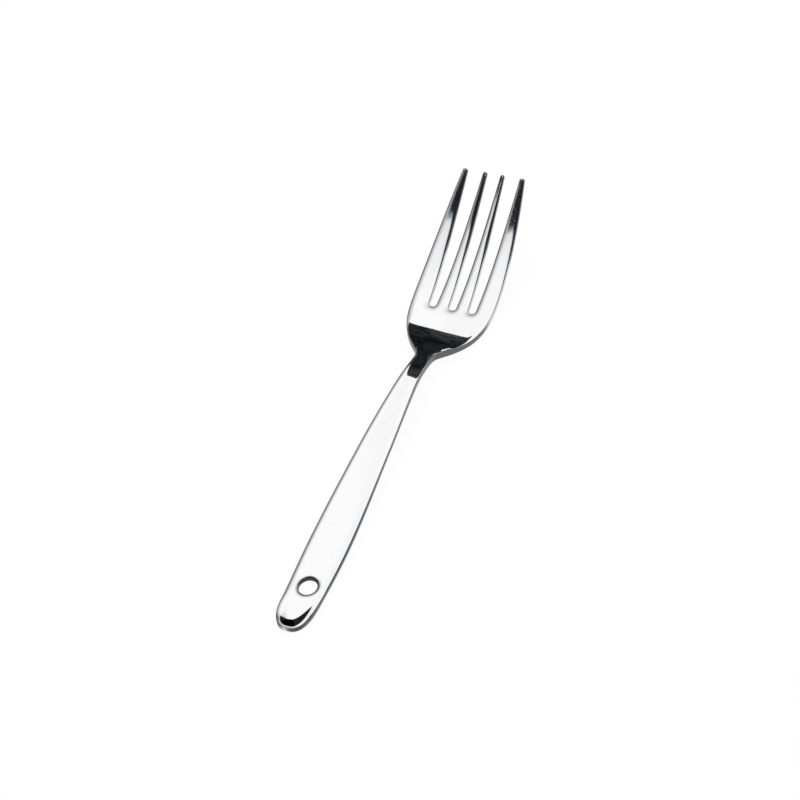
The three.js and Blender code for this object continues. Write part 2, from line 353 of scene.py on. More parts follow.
def smoothVertices(obj, chosen, repeat):
    selectVertices(obj, chosen)
    bpy.ops.mesh.vertices_smooth(factor=0.5, repeat=repeat)
    bpy.ops.object.mode_set(mode="OBJECT")


# flat sheet of the fork seen from above: a grid with the slots and the hole left open
def makeSheet():
    f = fork
    nt, ns = f["tineColumns"], f["slotColumns"]
    # rows over which the round outlines fade into the grid, and the opening for the hole
    rootFade, endFade, tipFade, tipRows = 4, 9.0, 3.0, 6
    holeShare, holeHalf, holeReach = 0.72, ns // 2 + 11, 2.6
    # rows by the roots, the hole and the tips where the grid is evened out
    underRoot, overRoot, underHole, underTip, evenRepeat = 16, 9, 6, 9, 120
    rows, rootRow = rowPlaces()
    nx, ny = 4 * nt + 3 * ns, len(rows) - 1
    bpy.ops.object.select_all(action="DESELECT")
    bpy.ops.mesh.primitive_grid_add(x_subdivisions=nx, y_subdivisions=ny, size=2)
    sheet = bpy.context.object
    sheet.name = "fork_steel"
    mesh = sheet.data
    starts = [nt + k * (nt + ns) for k in range(3)]
    holeRows = np.nonzero(np.abs(rows - f["holeAt"]) < f["holeLength"] / 2 * holeShare)[0]
    lowRow, highRow = holeRows[0], holeRows[-1]
    midColumn = nx // 2
    centres = np.zeros(len(mesh.polygons) * 3)
    mesh.polygons.foreach_get("center", centres)
    centres = centres.reshape(-1, 3)
    faceColumn = (centres[:, 0] + 1) / 2 * nx
    faceRow = (centres[:, 1] + 1) / 2 * ny
    gone = (np.abs(faceColumn - midColumn) < holeHalf) & (faceRow > lowRow) & (faceRow < highRow)
    for start in starts:
        gone |= (faceColumn > start) & (faceColumn < start + ns) & (faceRow > rootRow)
    bpy.ops.object.mode_set(mode="EDIT")
    bpy.ops.mesh.select_mode(type="FACE")
    bpy.ops.mesh.select_all(action="DESELECT")
    bpy.ops.object.mode_set(mode="OBJECT")
    mesh.polygons.foreach_set("select", gone)
    bpy.ops.object.mode_set(mode="EDIT")
    bpy.ops.mesh.delete(type="FACE")
    bpy.ops.object.mode_set(mode="OBJECT")

    co = readPoints(mesh)
    column = np.rint((co[:, 0] + 1) / 2 * nx).astype(int)
    row = np.rint((co[:, 1] + 1) / 2 * ny).astype(int)
    y = rows[row]
    x = np.zeros(len(y))
    r = f["slotWidth"] / 2
    # columns below the roots keep the shares of the width that they have at the root row
    atRoot = np.zeros(nx + 1)
    rootEdges = tineEdges(rows[rootRow])
    for k in range(4):
        first = k * (nt + ns)
        atRoot[first:first + nt + 1] = np.linspace(rootEdges[k][0], rootEdges[k][1], nt + 1)
    for k, start in enumerate(starts):
        turn = np.linspace(-math.pi / 4, math.pi / 4, ns + 1)
        atRoot[start:start + ns + 1] = (k - 1) * f["slotSpacing"] + r * np.sin(turn)
    share = atRoot / halfWidth(rows[rootRow])
    below = row <= rootRow
    n = f["endFullness"]
    u = np.clip(1 - y / f["endRounding"], 0, 1)
    half = np.where(y < f["handleMidAt"], leafHalf(y) * (1 - u ** n) ** (1 / n), halfWidth(y))
    x[below] = share[column[below]] * half[below]
    for j in range(rootRow + 1, ny + 1):
        edges = tineEdges(rows[j])
        for k in range(4):
            first = k * (nt + ns)
            here = (row == j) & (column >= first) & (column <= first + nt)
            t = (column[here] - first) / nt
            x[here] = edges[k][0] + (edges[k][1] - edges[k][0]) * t
    # round roots of the slots, fading into the bowl
    for k, start in enumerate(starts):
        inSlot = (column >= start) & (column <= start + ns) & below
        turn = (column[inSlot] - start) / ns * math.pi / 2 - math.pi / 4
        dip = r * (np.cos(turn) - math.cos(math.pi / 4))
        y[inSlot] -= dip * np.exp(-(rootRow - row[inSlot]) / rootFade)
    # round end of the handle, fading into the leaf
    turn = math.pi / 4 + (1 - np.abs(share[column])) * math.pi / 4
    endX = np.sign(share[column]) * np.cos(turn) ** (2 / n)
    endY = f["endRounding"] * (1 - np.sin(turn) ** (2 / n))
    atEnd = row == 0
    x[atEnd] = (endX * leafHalf(endY))[atEnd]
    y = y + (endY - rows[0]) * np.exp(-row / endFade)
    # round tips of the tines
    for k in range(4):
        first = k * (nt + ns)
        here = (row > ny - tipRows) & (column >= first) & (column <= first + nt)
        edges = tineEdges(f["tipAt"] - f["tipRounding"])[k]
        middle, wide = (edges[0] + edges[1]) / 2, (edges[1] - edges[0]) / 2
        turn = ((column[here] - first) / nt * 2 - 1) * math.pi / 4
        last = row[here] == ny
        bulge = f["tipRounding"] * (np.cos(turn) - math.cos(math.pi / 4))
        y[here] += bulge * np.exp(-(ny - row[here]) / tipFade)
        moved = x[here]
        moved[last] = (middle + wide * np.sin(turn))[last]
        x[here] = moved
    # oval hole: the square opening is pushed out to the oval
    dc = (column - midColumn) / holeHalf
    dr = (row - (lowRow + highRow) / 2) / ((highRow - lowRow) / 2)
    ring = np.maximum(np.abs(dc), np.abs(dr))
    side = np.abs(dc) >= np.abs(dr)
    slant = np.where(side, dr / np.maximum(np.abs(dc), 1e-9), dc / np.maximum(np.abs(dr), 1e-9))
    angle = slant * math.pi / 4
    wide, tall = f["holeWidth"] / 2 + f["rimRing"], f["holeLength"] / 2 + f["rimRing"]
    ovalX = np.where(side, np.sign(dc) * np.cos(angle), np.sin(angle)) * wide
    ovalY = np.where(side, np.sin(angle), np.sign(dr) * np.cos(angle)) * tall
    weight = np.clip((holeReach - ring) / (holeReach - 1), 0, 1)
    weight = weight * weight * (3 - 2 * weight)
    grow = np.maximum(ring, 1)
    x = x + weight * (ovalX * grow - x)
    y = y + weight * (ovalY * grow + f["holeAt"] - y)
    writePoints(mesh, np.stack([x, y, np.zeros(len(x))], 1))
    # the outline stays where it is while the grid inside is evened out
    edgeOnly = np.zeros(len(x), bool)
    edgeOnly[boundaryPairs(mesh).ravel()] = True
    nearRoot = (row > rootRow - underRoot) & (row < rootRow + overRoot)
    nearEnd = row < lowRow - underHole
    nearTip = row > ny - underTip
    smoothVertices(sheet, np.nonzero(~edgeOnly & (nearRoot | nearEnd | nearTip))[0], evenRepeat)
    print("sheet", nx, "by", ny, "rows,", len(mesh.polygons), "faces")
    return sheet


# draws the sheet in from its outline and adds a ring of faces out to the outline
def addRim(sheet):
    f = fork
    mesh = sheet.data
    evenRings, evenRepeat, endEvenUntil, endRepeat = 18, 160, 30, 12
    holeBand, holeKept = 0.7, 0.62  # shares of the hole's size that mark its edge and the faces kept round it
    co = readPoints(mesh)
    corners = np.zeros(len(mesh.loops), np.int32)
    mesh.loops.foreach_get("vertex_index", corners)
    corners = corners.reshape(-1, 4)
    directed = np.concatenate([corners[:, [k, (k + 1) % 4]] for k in range(4)])
    onEdge = set(map(tuple, np.sort(boundaryPairs(mesh), axis=1).tolist()))
    after, before = {}, {}
    for a, b in directed.tolist():
        if (min(a, b), max(a, b)) in onEdge:
            after[a], before[b] = b, a
    order = sorted(after)
    along = co[[after[v] for v in order]] - co[[before[v] for v in order]]
    inward = np.stack([-along[:, 1], along[:, 0], 0 * along[:, 0]], 1)
    inward /= np.linalg.norm(inward, axis=1)[:, None]
    byHole = np.hypot(co[order, 0], co[order, 1] - f["holeAt"]) < f["holeLength"]
    byHole &= np.abs(co[order, 0]) < f["holeWidth"] * holeBand
    outline = co[order] - inward * (f["rimRing"] * byHole)[:, None]
    co[order] = outline + inward * f["rimRing"]
    writePoints(mesh, co)
    # the faces next to the drawn in edge are evened out again
    drawn = np.zeros(len(co), bool)
    drawn[order] = True
    fixed = drawn | (np.hypot(co[:, 0], co[:, 1] - f["holeAt"]) < holeKept * f["holeLength"])
    links = readLinks(mesh)
    near = drawn & ~np.isin(np.arange(len(co)), np.array(order)[byHole])
    for _ in range(evenRings):
        touched = near[links[:, 0]] | near[links[:, 1]]
        near[links[touched].ravel()] = True
    smoothVertices(sheet, np.nonzero(near & ~fixed)[0], evenRepeat)
    smoothVertices(sheet, np.nonzero(~drawn & (co[:, 1] < endEvenUntil))[0], endRepeat)
    tree = kdtree.KDTree(len(order))
    for k, v in enumerate(order):
        tree.insert(Vector(co[v]), k)
    tree.balance()
    selectVertices(sheet, order)
    bpy.ops.mesh.select_mode(type="EDGE")
    bpy.ops.mesh.select_all(action="DESELECT")
    bpy.ops.mesh.select_non_manifold(extend=False, use_wire=False, use_boundary=True,
                                     use_multi_face=False, use_non_contiguous=False, use_verts=False)
    bpy.ops.mesh.extrude_edges_move()
    bpy.ops.object.mode_set(mode="OBJECT")
    co = readPoints(mesh)
    for v in np.unique(boundaryPairs(mesh)):
        _, k, _ = tree.find(Vector(co[v]))
        co[v] = outline[k]
    writePoints(mesh, co)
    print("rim", len(order), "edges,", len(mesh.polygons), "faces")


# distance to the nearest line, and the direction towards it
def distanceToLines(points, starts, ends):
    out, toward = np.zeros(len(points)), np.zeros((len(points), 2))
    along = ends - starts
    length = np.maximum((along ** 2).sum(1), 1e-12)
    batch = 2000  # places at a time, for the memory
    for k in range(0, len(points), batch):
        p = points[k:k + batch, None, :]
        t = np.clip(((p - starts) * along).sum(2) / length, 0, 1)
        away = starts + t[..., None] * along - p
        gap = np.sqrt((away ** 2).sum(2))
        best = gap.argmin(1)[:, None]
        out[k:k + batch] = np.take_along_axis(gap, best, 1)[:, 0]
        toward[k:k + batch] = np.take_along_axis(away, best[..., None], 1)[:, 0]
    return out, toward / np.maximum(out, 1e-9)[:, None]


# the handle's outline as a closed line up to the shoulders, for the distance to its edge
def handleOutline():
    f = fork
    n = f["endFullness"]
    closedAt, endSteps, sideSteps = 112, 120, 260
    turn = np.linspace(0, math.pi / 2, endSteps)
    endY = f["endRounding"] * (1 - np.sin(turn) ** (2 / n))
    endX = leafHalf(endY) * np.cos(turn) ** (2 / n)
    sideY = np.linspace(closedAt, f["endRounding"], sideSteps)[:-1]
    right = np.stack([np.concatenate([halfWidth(sideY), endX]), np.concatenate([sideY, endY])], 1)
    left = right[::-1][1:] * np.array([-1, 1])
    return np.concatenate([right, left])


# marks the ground side walls with painted dark shade, the painted shade lines on the edges and the tips, the softer
# polish with painted shade by the roots and the hole, the painted dark shade by the hole, on the tips and the end
# wall, and a painted highlight on the end wall
def markEdges(mesh):
    f = fork
    normals = np.zeros(len(mesh.vertices) * 3)
    mesh.vertex_normals.foreach_get("vector", normals)
    normals = normals.reshape(-1, 3)
    co = readPoints(mesh) / mm
    x, y = co[:, 0], co[:, 1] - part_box("fork")[0][1] / mm
    lean = leanOf(y)
    steep = 1 - np.abs(normals[:, 2] * np.cos(lean) - normals[:, 1] * np.sin(lean))
    steepFrom, steepRange, wallFrom, wallRange = 0.05, 0.16, 0.2, 0.4  # how steep ground edges and the end wall are
    wallFull, ringFull, sideShift = 1.3, 1.6, 0.4  # how full the hole's wall and ring are, and where its right starts
    # the tips of the tines get a painted dark shade cap
    onShadeCap = np.clip((y - f["tipAt"] + f["tipShadeCap"]) / f["shadeCapLength"], 0, 1)
    # how much painted dark shade the ground walls get: steep places, times the share along the fork
    t = np.clip((steep - steepFrom) / steepRange, 0, 1) * curveThrough(f["groundShadeAlong"], y)
    t = np.maximum(t, onShadeCap)
    # the painted shade line along the edges joins the painted dark shade of the ground walls
    wornAndShaded = np.zeros(len(co), np.float32)
    mesh.attributes["edgeShadeLine"].data.foreach_get("value", wornAndShaded)
    groundShade = np.maximum(t * t * (3 - 2 * t), wornAndShaded)
    # by the hole the polish is softer at the lower right, with painted shade, and the wall and the ring next to it
    # get painted dark shade
    fromHole = np.abs(np.hypot(x / f["holeWidth"], (y - f["holeAt"]) / f["holeLength"]) * 2 - 1)
    lowRight = np.clip(sideShift + (x - y + f["holeAt"]) / f["holeLength"], 0, 1)
    holeSoftShade = f["holeDullShade"] * lowRight * np.clip(1 - fromHole / f["holeDullShadeReach"], 0, 1)
    soft = np.maximum(belowRoots(x, y, f["rootDullShadeLength"]), holeSoftShade)
    wall = np.clip(wallFull - fromHole / f["wallReach"], 0, 1)
    ring = lowRight * np.clip(ringFull - fromHole / f["ringReach"], 0, 1)
    darkShade = np.maximum(f["holeDarkShade"] * np.maximum(wall, ring), f["tipDarkShade"] * onShadeCap)
    # a highlight is painted on the end wall where it touches the table, with painted dark shade to both sides of it
    endWall = np.clip((f["endWallUntil"] - y) / f["endWallFade"], 0, 1)
    endWall = endWall * np.clip((steep - wallFrom) / wallRange, 0, 1)
    aside = (x - f["highlightAt"]) / f["highlightWidth"]
    groundShade = groundShade * (1 - f["endHighlight"] * endWall * np.exp(-aside ** 2))
    darkShade = np.maximum(darkShade, f["endDarkShade"] * endWall * (1 - np.exp(-(aside / f["highlightSpread"]) ** 2)))
    for name, values in (("groundEdgeShade", groundShade), ("softPolishShade", soft), ("darkShadeMark", darkShade)):
        mark = mesh.attributes.new(name, "FLOAT", "POINT")
        mark.data.foreach_set("value", values.astype(np.float32))


# lifts the flat sheet into the fork's side view and gives it its thickness
def shapeFork(sheet):
    f = fork
    mesh = sheet.data
    flat = readPoints(mesh)
    count = len(flat)
    x, y = flat[:, 0], flat[:, 1]
    handleUntil, onLine, holeNearer = 106, 1e-4, 0.01
    edge = np.zeros(count)
    onHandle = y < handleUntil
    outline = handleOutline()
    edge[onHandle], _ = distanceToLines(flat[onHandle, :2], outline, np.roll(outline, -1, axis=0))
    pairs = boundaryPairs(mesh)
    anyEdge, toward = distanceToLines(flat[:, :2], flat[pairs[:, 0], :2], flat[pairs[:, 1], :2])
    byHole = onHandle & (anyEdge < edge - holeNearer)
    # places on the edge itself take the direction of the next place inside
    onEdge = anyEdge < onLine
    links = readLinks(mesh)
    links = np.concatenate([links, links[:, ::-1]])
    links = links[onEdge[links[:, 0]] & ~onEdge[links[:, 1]]]
    toward[links[:, 0]] = toward[links[:, 1]]
    # painted dark shade line along the edges, for the steel's colour
    line = mesh.attributes.new("edgeShadeLine", "FLOAT", "POINT")
    line.data.foreach_set("value", edgeShadeLine(anyEdge, toward, y, byHole).astype(np.float32))
    bpy.ops.object.select_all(action="DESELECT")
    sheet.select_set(True)
    bpy.context.view_layer.objects.active = sheet
    solid = sheet.modifiers.new("thickness", "SOLIDIFY")
    solid.thickness = 1.0
    solid.offset = -1
    bpy.ops.object.modifier_apply(modifier="thickness")
    co = readPoints(mesh)
    lean = leanOf(y)
    base = underside(y)
    hollow = hollowOf(x, y)
    crown, turn = tineForm(x, y)
    sunk = rimSink(edge, x, y) * onHandle + edgeRoll(anyEdge, toward, y, byHole)
    upper = thicknessOf(y) - sunk - hollow + crown + turn
    padEase = 2  # the relief under the handle starts this far before the end of the flat
    relief = curveThrough([
        (0, 0, 0), (f["padLength"] - padEase, 0, 0), (f["endTaper"], f["handleRelief"], 0),
        (f["handleMidAt"], f["handleRelief"], 0), (f["crestAt"], 0, 0), (f["tipAt"], 0, 0)], y)

    def lifted(up):
        return np.stack([x, y - up * np.sin(lean), base + up * np.cos(lean)], 1)

    firstIsTop = co[:count, 2].mean() > co[count:2 * count, 2].mean()
    top, bottom = lifted(upper), lifted(turn - hollow + relief)
    co[:count] = top if firstIsTop else bottom
    co[count:2 * count] = bottom if firstIsTop else top
    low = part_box("fork")[0]
    co = co * mm
    co[:, 1] += low[1]
    co[:, 2] += low[2] - co[:, 2].min()
    writePoints(mesh, co)
    bpy.ops.object.mode_set(mode="EDIT")
    bpy.ops.mesh.select_all(action="SELECT")
    bpy.ops.mesh.normals_make_consistent(inside=False)
    bpy.ops.object.mode_set(mode="OBJECT")
    bevel = sheet.modifiers.new("edges", "BEVEL")
    bevel.width = f["edgeRadius"] * mm
    bevel.segments = f["edgeSegments"]
    bevel.limit_method = "ANGLE"
    bevel.angle_limit = math.radians(f["edgeAngle"])
    bevel.use_clamp_overlap = False
    bpy.ops.object.modifier_apply(modifier="edges")
    # places that the rounding left on top of one another are joined
    bpy.ops.object.mode_set(mode="EDIT")
    bpy.ops.mesh.select_all(action="SELECT")
    bpy.ops.mesh.remove_doubles(threshold=f["joinWithin"] * mm)
    bpy.ops.mesh.dissolve_degenerate(threshold=f["joinWithin"] * mm / 4)
    bpy.ops.object.mode_set(mode="OBJECT")
    bpy.ops.object.shade_smooth()
    markEdges(mesh)
    triangles = sum(len(p.vertices) - 2 for p in mesh.polygons)
    print("fork shaped,", triangles, "triangles")


forkSteel = makeSheet()
addRim(forkSteel)
shapeFork(forkSteel)
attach(forkSteel, "root")
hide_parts("fork")


# colours and roughness of the steel, with the painted dark shade of the ground walls, the painted shade of the softer
# polish and the painted dark shade marks, sizes in waves per metre, depths and the place of the fingermark in metres
finishAndShade = {
    "bright": (0.92, 0.92, 0.925, 1), "groundShade": (0.14, 0.14, 0.145, 1),
    "dullShade": (0.3, 0.3, 0.305, 1), "darkShade": (0.02, 0.022, 0.025, 1),
    "polish": 0.035, "groundRoughness": 0.3,
    "smear": 640.0, "smearFrom": 0.5, "smearTo": 0.72, "smearRoughness": 0.03, "smearDull": 0.03,
    "hairline": (5200.0, 150.0, 5200.0), "hairlineDepth": 0.0000006,
    "speckle": 2300.0, "speckleFrom": 0.52, "speckleTo": 0.7, "speckleDepth": 0.000005,
    "markFrom": (0.006, 0.069), "markTo": (0.008, 0.076),
}


# one number moved from a range to 0 and 1 or to given ends
def ranged(nodes, links, value, low, high, toLow=0, toHigh=1):
    node = nodes.new("ShaderNodeMapRange")
    node.interpolation_type = "SMOOTHSTEP"
    for name, number in (("From Min", low), ("From Max", high), ("To Min", toLow), ("To Max", toHigh)):
        node.inputs[name].default_value = number
    links.new(value, node.inputs["Value"])
    return node.outputs["Result"]


def combined(nodes, links, kind, first, second):
    node = nodes.new("ShaderNodeMath")
    node.operation = kind
    for socket, value in zip(node.inputs, (first, second)):
        if isinstance(value, (int, float)):
            socket.default_value = value
        else:
            links.new(value, socket)
    return node.outputs[0]


def stretchedBy(nodes, links, where, stretch):
    node = nodes.new("ShaderNodeVectorMath")
    node.operation = "MULTIPLY"
    node.inputs[1].default_value = stretch
    links.new(where, node.inputs[0])
    return node.outputs["Vector"]


def noiseAt(nodes, links, where, scale, detail):
    node = nodes.new("ShaderNodeTexNoise")
    node.inputs["Scale"].default_value = scale
    node.inputs["Detail"].default_value = detail
    links.new(where, node.inputs["Vector"])
    return node.outputs["Fac"]


def mixedColour(nodes, links, base, over, share):
    node = nodes.new("ShaderNodeMix")
    node.data_type = "RGBA"
    if isinstance(base, tuple):
        node.inputs["A"].default_value = base
    else:
        links.new(base, node.inputs["A"])
    node.inputs["B"].default_value = over
    links.new(share, node.inputs["Factor"])
    return node.outputs["Result"]


def bumped(nodes, links, height, depth, normal=None):
    node = nodes.new("ShaderNodeBump")
    node.inputs["Distance"].default_value = depth
    links.new(height, node.inputs["Height"])
    if normal is not None:
        links.new(normal, node.inputs["Normal"])
    return node.outputs["Normal"]


# wear of polished steel with painted shade: smears that dull it, hairlines along the fork, a speckled fingermark on
# the right tine, and the painted shade and dark shade of the marks mixed into the colour
def makeFinishAndShade():
    group = bpy.data.node_groups.new("steelFinishAndShade", "ShaderNodeTree")
    for name, kind, inOut in (("GroundShade", "NodeSocketFloat", "INPUT"), ("DullShade", "NodeSocketFloat", "INPUT"),
                              ("DarkShade", "NodeSocketFloat", "INPUT"), ("Colour", "NodeSocketColor", "OUTPUT"),
                              ("Roughness", "NodeSocketFloat", "OUTPUT"), ("Normal", "NodeSocketVector", "OUTPUT")):
        group.interface.new_socket(name=name, in_out=inOut, socket_type=kind)
    nodes, links = group.nodes, group.links
    marks, out = nodes.new("NodeGroupInput"), nodes.new("NodeGroupOutput")
    where = nodes.new("ShaderNodeTexCoord").outputs["Object"]
    smear = noiseAt(nodes, links, where, finishAndShade["smear"], 4)
    smear = ranged(nodes, links, smear, finishAndShade["smearFrom"], finishAndShade["smearTo"])
    hairline = noiseAt(nodes, links, stretchedBy(nodes, links, where, finishAndShade["hairline"]), 1, 2)
    place = nodes.new("ShaderNodeSeparateXYZ")
    links.new(where, place.inputs[0])
    onTine = combined(nodes, links, "MULTIPLY",
                      ranged(nodes, links, place.outputs["X"], finishAndShade["markFrom"][0], finishAndShade["markTo"][0]),
                      ranged(nodes, links, place.outputs["Y"], finishAndShade["markFrom"][1], finishAndShade["markTo"][1]))
    specks = ranged(nodes, links, noiseAt(nodes, links, where, finishAndShade["speckle"], 1),
                    finishAndShade["speckleFrom"], finishAndShade["speckleTo"])
    speckle = combined(nodes, links, "MULTIPLY", onTine, specks)
    groundShade, dullShade, darkShade = (marks.outputs[name] for name in ("GroundShade", "DullShade", "DarkShade"))
    # painted shade of the softer polish below the roots and by the hole, with a little random dulling from the smears
    shadeAndSmear = combined(nodes, links, "ADD", dullShade, combined(nodes, links, "MULTIPLY", smear, finishAndShade["smearDull"]))
    colour = mixedColour(nodes, links, finishAndShade["bright"], finishAndShade["dullShade"], shadeAndSmear)
    # painted dark shade of the ground walls and edges, a dark reflection put into the colour
    colour = mixedColour(nodes, links, colour, finishAndShade["groundShade"], groundShade)
    # painted dark shade by the hole, on the tips and on the end wall
    colour = mixedColour(nodes, links, colour, finishAndShade["darkShade"], darkShade)
    rough = ranged(nodes, links, combined(nodes, links, "MAXIMUM", groundShade, dullShade),
                   0, 1, finishAndShade["polish"], finishAndShade["groundRoughness"])
    wornAndShaded = combined(nodes, links, "ADD", rough, combined(nodes, links, "MULTIPLY", smear, finishAndShade["smearRoughness"]))
    lines = bumped(nodes, links, hairline, finishAndShade["hairlineDepth"])
    links.new(colour, out.inputs["Colour"])
    links.new(wornAndShaded, out.inputs["Roughness"])
    links.new(bumped(nodes, links, speckle, finishAndShade["speckleDepth"], lines), out.inputs["Normal"])
    return group


# polished steel: bright faces, with painted shade by the roots and the hole, painted dark shade on the ground walls,
# along the edges and on the tips, and a painted highlight on the end wall
def makeSteel():
    steel = bpy.data.materials.new("polished_steel")
    steel.use_nodes = True
    nodes, links = steel.node_tree.nodes, steel.node_tree.links
    shader = nodes["Principled BSDF"]
    shader.inputs["Metallic"].default_value = 1
    wearAndShade = nodes.new("ShaderNodeGroup")
    wearAndShade.node_tree = makeFinishAndShade()
    for name, socket in (("groundEdgeShade", "GroundShade"), ("softPolishShade", "DullShade"), ("darkShadeMark", "DarkShade")):
        mark = nodes.new("ShaderNodeAttribute")
        mark.attribute_name = name
        links.new(mark.outputs["Fac"], wearAndShade.inputs[socket])
    for name, socket in (("Colour", "Base Color"), ("Roughness", "Roughness"), ("Normal", "Normal")):
        links.new(wearAndShade.outputs[name], shader.inputs[socket])
    return steel


forkSteel.data.materials.clear()
forkSteel.data.materials.append(makeSteel())
print("steel on", forkSteel.name)

# white paper floor that also shows white in the steel and keeps a faint shadow
studio = {"floorSize": 6.0, "shadowShare": 0.08, "paper": (0.9, 0.9, 0.9, 1), "skyLight": 0.7}


# camera, glossy and transmission rays see the white background itself
def seenDirectly(nodes, links):
    path = nodes.new("ShaderNodeLightPath").outputs
    either = combined(nodes, links, "MAXIMUM", path["Is Camera Ray"], path["Is Glossy Ray"])
    return combined(nodes, links, "MAXIMUM", either, path["Is Transmission Ray"])


def makeFloor():
    bpy.ops.object.select_all(action="DESELECT")
    bpy.ops.mesh.primitive_plane_add(size=studio["floorSize"], location=(0, 0, 0))
    floor = bpy.context.object
    floor.name = "floor"
    paper = bpy.data.materials.new("white_paper")
    paper.use_nodes = True
    nodes, links = paper.node_tree.nodes, paper.node_tree.links
    shader = nodes["Principled BSDF"]
    shader.inputs["Base Color"].default_value = studio["paper"]
    shader.inputs["Roughness"].default_value = 1
    shader.inputs["Specular IOR Level"].default_value = 0
    glow = nodes.new("ShaderNodeEmission")
    glow.inputs["Color"].default_value = (1, 1, 1, 1)
    blend = nodes.new("ShaderNodeMixShader")
    share = combined(nodes, links, "MULTIPLY", seenDirectly(nodes, links), 1 - studio["shadowShare"])
    links.new(share, blend.inputs["Fac"])
    links.new(shader.outputs["BSDF"], blend.inputs[1])
    links.new(glow.outputs["Emission"], blend.inputs[2])
    links.new(blend.outputs["Shader"], nodes["Material Output"].inputs["Surface"])
    floor.data.materials.append(paper)


def makeWorld():
    world = bpy.data.worlds.new("studio")
    bpy.context.scene.world = world
    world.use_nodes = True
    nodes, links = world.node_tree.nodes, world.node_tree.links
    level = nodes.new("ShaderNodeMapRange")
    level.inputs["To Min"].default_value = studio["skyLight"]
    level.inputs["To Max"].default_value = 1
    nodes["Background"].inputs["Color"].default_value = (1, 1, 1, 1)
    links.new(seenDirectly(nodes, links), level.inputs["Value"])
    links.new(level.outputs["Result"], nodes["Background"].inputs["Strength"])


# overhead lamp as centre, size and the light it gives on the floor
lamp = {"at": (-0.1, 0.25, 0.9), "size": 0.9, "brightness": 0.62}

# cards that only show in the steel: a soft light panel and darker flags round it
# corners and shades are in metres on the card's own plane, a shade is a direction and stops of place and brightness
cards = {
    "panel": {"at": (0, 0, 0.22), "facing": (0, 0, -1), "up": (-0.242, 0.970, 0),
              "corners": [(-0.38, -0.1), (0.4, -0.1), (0.4, 0.2), (0.02, 0.268), (-0.012, 0.266), (-0.026, 0.2625),
                          (-0.0315, 0.266), (-0.036, 0.275), (-0.041, 0.285), (-0.047, 0.299), (-0.053, 0.32),
                          (-0.059, 0.341), (-0.0645, 0.36), (-0.072, 0.375), (-0.104, 0.485), (-0.14, 0.6),
                          (-0.25, 0.6), (-0.38, 0.55)],
              "shades": [((-0.4, 1), [(0.046, (0.014, 0.017, 0.021)), (0.055, (0.022, 0.027, 0.033)),
                                      (0.06, (0.27, 0.32, 0.36)), (0.066, (0.86, 0.88, 0.9)),
                                      (0.085, (1.0, 1.01, 1.02)), (0.11, (1.06, 1.06, 1.06))]),
                         ((0.9, 1), [(-0.1, 0.015), (-0.085, 0.1), (-0.06, 1)]),
                         ((1, 0), [(-0.36, 0.35), (-0.23, 0.45), (-0.16, 0.75), (-0.121, 0.93), (-0.09, 0.99),
                                   (-0.066, 0.985), (-0.055, 0.955), (-0.045, 0.945), (-0.03, 0.985), (0.18, 0.97),
                                   (0.22, 0.3), (0.27, 0.05)])]},
    "farFlag": {"at": (0, 1.0, 0.62), "facing": (0, -1, 0), "up": (0, 0, 1),
                "corners": [(-0.02, -0.59), (0.52, -0.59), (0.52, 0.59), (-0.02, 0.59)],
                "shades": [((1, 0), [(-0.6, (0.007, 0.008, 0.01)), (0.05, (0.009, 0.01, 0.012)),
                                     (0.3, (0.016, 0.018, 0.021)), (0.52, (0.038, 0.045, 0.051))]),
                           ((0, 1), [(-0.59, 0.7), (-0.17, 0.45), (-0.03, 1), (0.59, 1)])],
                "blotches": {"stretch": (22.0, 9.0, 1.0), "from": 0.3, "to": 0.75,
                             "weakest": 0.45, "strongest": 1.9}},
    "leftFlag": {"at": (-0.9, 0.3, 0.64), "facing": (1, 0, 0), "up": (0, 0, 1),
                 "corners": [(-1.0, -0.63), (1.0, -0.63), (1.0, 0.4), (-1.0, 0.4)],
                 "shades": [((0, 1), [(-0.63, (0.16, 0.16, 0.165)), (-0.5, (0.32, 0.32, 0.325)),
                                      (-0.3, (0.62, 0.62, 0.63)), (-0.1, (0.82, 0.82, 0.83)),
                                      (0.15, (0.95, 0.95, 0.95)), (0.4, (1, 1, 1))])]},
    "lowFlag": {"at": (-0.75, 1.05, 0.18), "facing": (0, -1, 0), "up": (0, 0, 1),
                "corners": [(-0.35, -0.15), (0.35, -0.15), (0.35, 0.15), (-0.35, 0.15)],
                "shades": [((0, 1), [(-0.15, (0.03, 0.032, 0.035)), (0.15, (0.06, 0.06, 0.065))])]},
}


def makeLamp():
    bpy.ops.object.light_add(type="AREA", location=lamp["at"])
    overhead = bpy.context.object
    overhead.name = "overhead"
    overhead.data.shape = "SQUARE"
    overhead.data.size = lamp["size"]
    overhead.data.energy = math.pi * lamp["at"][2] ** 2 * math.pi * lamp["brightness"]
    overhead.visible_camera = False
    overhead.visible_glossy = False


# brightness along a direction on the card, from stops of place and colour or grey
def shadeOver(nodes, links, where, direction, stops):
    run = nodes.new("ShaderNodeVectorMath")
    run.operation = "DOT_PRODUCT"
    run.inputs[1].default_value = (*direction, 0)
    links.new(where, run.inputs[0])
    first, last = stops[0][0], stops[-1][0]
    span = nodes.new("ShaderNodeMapRange")
    span.inputs["From Min"].default_value = first
    span.inputs["From Max"].default_value = last
    links.new(run.outputs["Value"], span.inputs["Value"])
    ramp = nodes.new("ShaderNodeValToRGB")
    band = ramp.color_ramp
    band.interpolation = "EASE" if len(stops) > 2 else "LINEAR"
    while len(band.elements) < len(stops):
        band.elements.new(0.5)
    for element, (at, shade) in zip(band.elements, stops):
        element.position = (at - first) / (last - first)
        element.color = (*shade, 1) if isinstance(shade, tuple) else (shade, shade, shade, 1)
    links.new(span.outputs["Result"], ramp.inputs["Fac"])
    return ramp.outputs["Color"]


